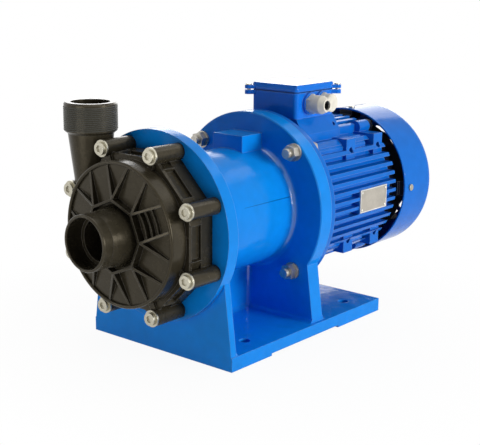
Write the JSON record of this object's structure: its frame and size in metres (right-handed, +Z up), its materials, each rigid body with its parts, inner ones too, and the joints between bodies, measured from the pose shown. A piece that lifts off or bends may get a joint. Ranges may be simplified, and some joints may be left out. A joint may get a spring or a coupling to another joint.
{
  "type": "magnetic drive pump",
  "caption": "Sealless magnetic drive pump: black plastic volute head with ribbed face and threaded ports, on a blue cast bracket with foot, driven by a finned flange motor.",
  "frame": {"origin": "centre of the four foot holes, on the underside of the foot", "axes": "+Z up, +Y along the shaft from the suction mouth to the fan, +X to the right seen from the suction side"},
  "size_m": [0.25, 0.605, 0.321],
  "materials": {
    "pump_plastic": "moulded glass-filled plastic, satin black",
    "black_rubber": "matt black rubber",
    "pale_ceramic": null,
    "carbon": "machined carbon",
    "bracket_paint": "gloss blue enamel on a casting",
    "motor_paint": "gloss blue enamel",
    "bolt_steel": "plated steel",
    "shaft_steel": "ground steel",
    "magnet_iron": "machined iron and magnet",
    "lamination": "stacked steel sheet",
    "copper": "varnished copper wire",
    "cage_aluminium": "die-cast aluminium",
    "fan_plastic": "moulded black plastic",
    "gland_plastic": "off-white moulded plastic",
    "board_plastic": "brown moulded plastic",
    "terminal_brass": "plain brass",
    "plate_metal": "bare satin metal"
  },
  "bodies": {
    "root": {"front_casing": "pump_plastic", "rear_casing": "pump_plastic", "shaft_support": "pump_plastic", "casing_seal": "black_rubber", "shaft_seal": "black_rubber", "box_gasket": "black_rubber", "gland_seals": "black_rubber", "pump_shaft": "pale_ceramic", "front_thrust_ring": "pale_ceramic", "rear_thrust_ring": "pale_ceramic", "mouth_ring": "pale_ceramic", "bracket": "bracket_paint", "motor_flange": "motor_paint", "motor_frame": "motor_paint", "rear_shield": "motor_paint", "fan_cowl": "motor_paint", "terminal_box": "motor_paint", "box_lid": "motor_paint", "casing_bolts": "bolt_steel", "casing_washers": "bolt_steel", "flange_bolts": "bolt_steel", "flange_washers": "bolt_steel", "flange_nuts": "bolt_steel", "shield_screws": "bolt_steel", "cowl_screws": "bolt_steel", "lid_screws": "bolt_steel", "front_bearing_outer": "shaft_steel", "rear_bearing_outer": "shaft_steel", "bearing_spring": "shaft_steel", "stator_core": "lamination", "stator_windings": "copper", "gland_bodies": "gland_plastic", "gland_nuts": "gland_plastic", "terminal_block": "board_plastic", "terminal_studs": "terminal_brass", "nameplate": "plate_metal", "nameplate_rivets": "plate_metal"},
    "drive_rotor": {"motor_shaft": "shaft_steel", "rotor_core": "lamination", "rotor_cage": "cage_aluminium", "front_bearing_inner": "shaft_steel", "rear_bearing_inner": "shaft_steel", "drive_hub": "magnet_iron", "drive_magnets": "magnet_iron", "hub_clamp_screw": "bolt_steel", "hub_key": "shaft_steel", "hub_set_screw": "bolt_steel", "fan": "fan_plastic", "fan_clip": "shaft_steel"},
    "impeller_rotor": {"impeller": "pump_plastic", "inner_magnet": "pump_plastic", "guide_bush": "carbon"}
  },
  "joints": [
    {"name": "drive_spin", "type": "hinge", "parent": "root", "child": "drive_rotor", "pos_m": [0, 0, 0.1635], "axis": [0, 1, 0], "continuous": true},
    {"name": "impeller_spin", "type": "hinge", "parent": "root", "child": "impeller_rotor", "pos_m": [0, 0, 0.1635], "axis": [0, 1, 0], "continuous": true}
  ],
  "couplings": [
    {"joint": "impeller_spin", "follows": "drive_spin", "ratio": 1}
  ]
}
